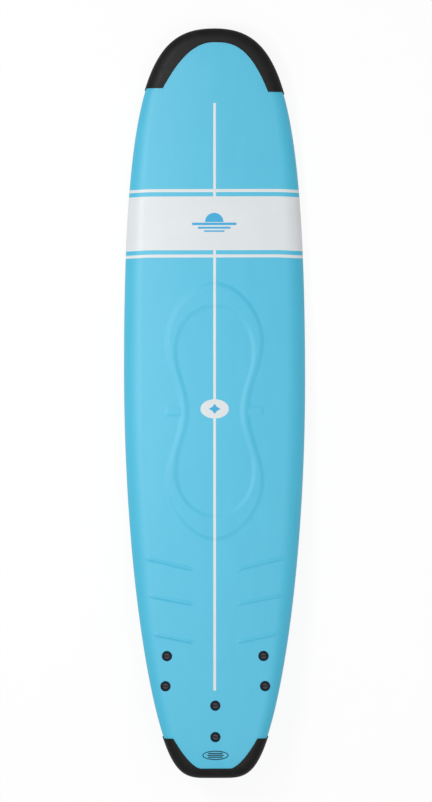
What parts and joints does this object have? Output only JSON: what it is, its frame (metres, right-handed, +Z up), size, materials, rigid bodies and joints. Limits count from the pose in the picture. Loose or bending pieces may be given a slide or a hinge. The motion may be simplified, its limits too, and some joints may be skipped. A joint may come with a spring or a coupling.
{
  "type": "soft-top surfboard",
  "caption": "Soft foam longboard with a squash tail, rubber nose and tail bumpers, pressed deck ribs and bolt-through fins held by coin-slot screws.",
  "frame": {"origin": "middle of the board's footprint, on the floor that it lies on, belly and fin tips down", "axes": "+X to the right seen from above with the nose away, +Y towards the nose, +Z up, out of the deck"},
  "size_m": [0.5898, 2.4374, 0.195],
  "materials": {
    "deck_foam": "soft closed-cell foam sheet, finely pebbled, sky blue",
    "white_film": "heat-laminated white film, satin",
    "blue_print": "printed film, dark teal blue",
    "black_rubber": "moulded rubber, matt black",
    "bead_foam": "expanded bead foam, white",
    "stringer_ply": "plywood strip, bare",
    "slick_plastic": "smooth polyethylene sheet, blue",
    "sheet_foam": "thin foam sheet, white",
    "fin_plastic": "flexible moulded plastic, black",
    "cup_plastic": "moulded nylon, black",
    "screw_plastic": "moulded nylon, dark grey",
    "sleeve_plastic": "extruded tube, white",
    "insert_brass": "turned, knurled to hold in its post"
  },
  "bodies": {
    "board": {"deck_skin": "deck_foam", "bottom_slick": "slick_plastic", "bottom_underlay": "sheet_foam", "core_left": "bead_foam", "core_centre": "bead_foam", "core_right": "bead_foam", "stringer_left": "stringer_ply", "stringer_right": "stringer_ply", "nose_bumper": "black_rubber", "tail_bumper": "black_rubber", "cross_band": "white_film", "front_pin_line": "white_film", "rear_pin_line": "white_film", "centre_line_nose": "white_film", "centre_line_front_link": "white_film", "centre_line_rear_link": "white_film", "centre_line_middle": "white_film", "centre_line_tail": "white_film", "centre_oval": "white_film", "tail_oval": "blue_print", "fin_left_front_cup": "cup_plastic", "fin_left_front_sleeve": "sleeve_plastic", "fin_left_rear_cup": "cup_plastic", "fin_left_rear_sleeve": "sleeve_plastic", "fin_right_front_cup": "cup_plastic", "fin_right_front_sleeve": "sleeve_plastic", "fin_right_rear_cup": "cup_plastic", "fin_right_rear_sleeve": "sleeve_plastic", "fin_centre_front_cup": "cup_plastic", "fin_centre_front_sleeve": "sleeve_plastic", "fin_centre_rear_cup": "cup_plastic", "fin_centre_rear_sleeve": "sleeve_plastic"},
    "fin_left": {"fin_left": "fin_plastic", "fin_left_front_insert": "insert_brass", "fin_left_rear_insert": "insert_brass"},
    "fin_left_front_screw": {"fin_left_front_screw": "screw_plastic"},
    "fin_left_rear_screw": {"fin_left_rear_screw": "screw_plastic"},
    "fin_right": {"fin_right": "fin_plastic", "fin_right_front_insert": "insert_brass", "fin_right_rear_insert": "insert_brass"},
    "fin_right_front_screw": {"fin_right_front_screw": "screw_plastic"},
    "fin_right_rear_screw": {"fin_right_rear_screw": "screw_plastic"},
    "fin_centre": {"fin_centre": "fin_plastic", "fin_centre_front_insert": "insert_brass", "fin_centre_rear_insert": "insert_brass"},
    "fin_centre_front_screw": {"fin_centre_front_screw": "screw_plastic"},
    "fin_centre_rear_screw": {"fin_centre_rear_screw": "screw_plastic"}
  },
  "joints": [
    {"name": "fin_left_front_screw_turn", "type": "hinge", "parent": "board", "child": "fin_left_front_screw", "pos_m": [-0.15699, -0.82156, 0.15793], "axis": [0, 0.1383, 0.9904], "range_deg": [0, 2880]},
    {"name": "fin_left_rear_screw_turn", "type": "hinge", "parent": "board", "child": "fin_left_rear_screw", "pos_m": [-0.16195, -0.91934, 0.16542], "axis": [0, 0.1383, 0.9904], "range_deg": [0, 2880]},
    {"name": "fin_left_drop", "type": "slide", "parent": "board", "child": "fin_left", "axis": [0, -0.1383, -0.9904], "range_m": [0, 0.016]},
    {"name": "fin_right_front_screw_turn", "type": "hinge", "parent": "board", "child": "fin_right_front_screw", "pos_m": [0.15699, -0.82156, 0.15793], "axis": [0, 0.1383, 0.9904], "range_deg": [0, 2880]},
    {"name": "fin_right_rear_screw_turn", "type": "hinge", "parent": "board", "child": "fin_right_rear_screw", "pos_m": [0.16195, -0.91934, 0.16541], "axis": [0, 0.1383, 0.9904], "range_deg": [0, 2880]},
    {"name": "fin_right_drop", "type": "slide", "parent": "board", "child": "fin_right", "axis": [0, -0.1383, -0.9904], "range_m": [0, 0.016]},
    {"name": "fin_centre_front_screw_turn", "type": "hinge", "parent": "board", "child": "fin_centre_front_screw", "pos_m": [0, -0.98173, 0.18012], "axis": [0, 0.1568, 0.9876], "range_deg": [0, 2880]},
    {"name": "fin_centre_rear_screw_turn", "type": "hinge", "parent": "board", "child": "fin_centre_rear_screw", "pos_m": [0, -1.08355, 0.18932], "axis": [0, 0.1568, 0.9876], "range_deg": [0, 2880]},
    {"name": "fin_centre_drop", "type": "slide", "parent": "board", "child": "fin_centre", "axis": [0, -0.1568, -0.9876], "range_m": [0, 0.016]}
  ],
  "couplings": [
    {"joint": "fin_left_front_screw_turn", "follows": "fin_left_drop", "rad_per_m": 3141.5},
    {"joint": "fin_left_rear_screw_turn", "follows": "fin_left_drop", "rad_per_m": 3141.5},
    {"joint": "fin_right_front_screw_turn", "follows": "fin_right_drop", "rad_per_m": 3141.5},
    {"joint": "fin_right_rear_screw_turn", "follows": "fin_right_drop", "rad_per_m": 3141.5},
    {"joint": "fin_centre_front_screw_turn", "follows": "fin_centre_drop", "rad_per_m": 3141.5},
    {"joint": "fin_centre_rear_screw_turn", "follows": "fin_centre_drop", "rad_per_m": 3141.5}
  ]
}
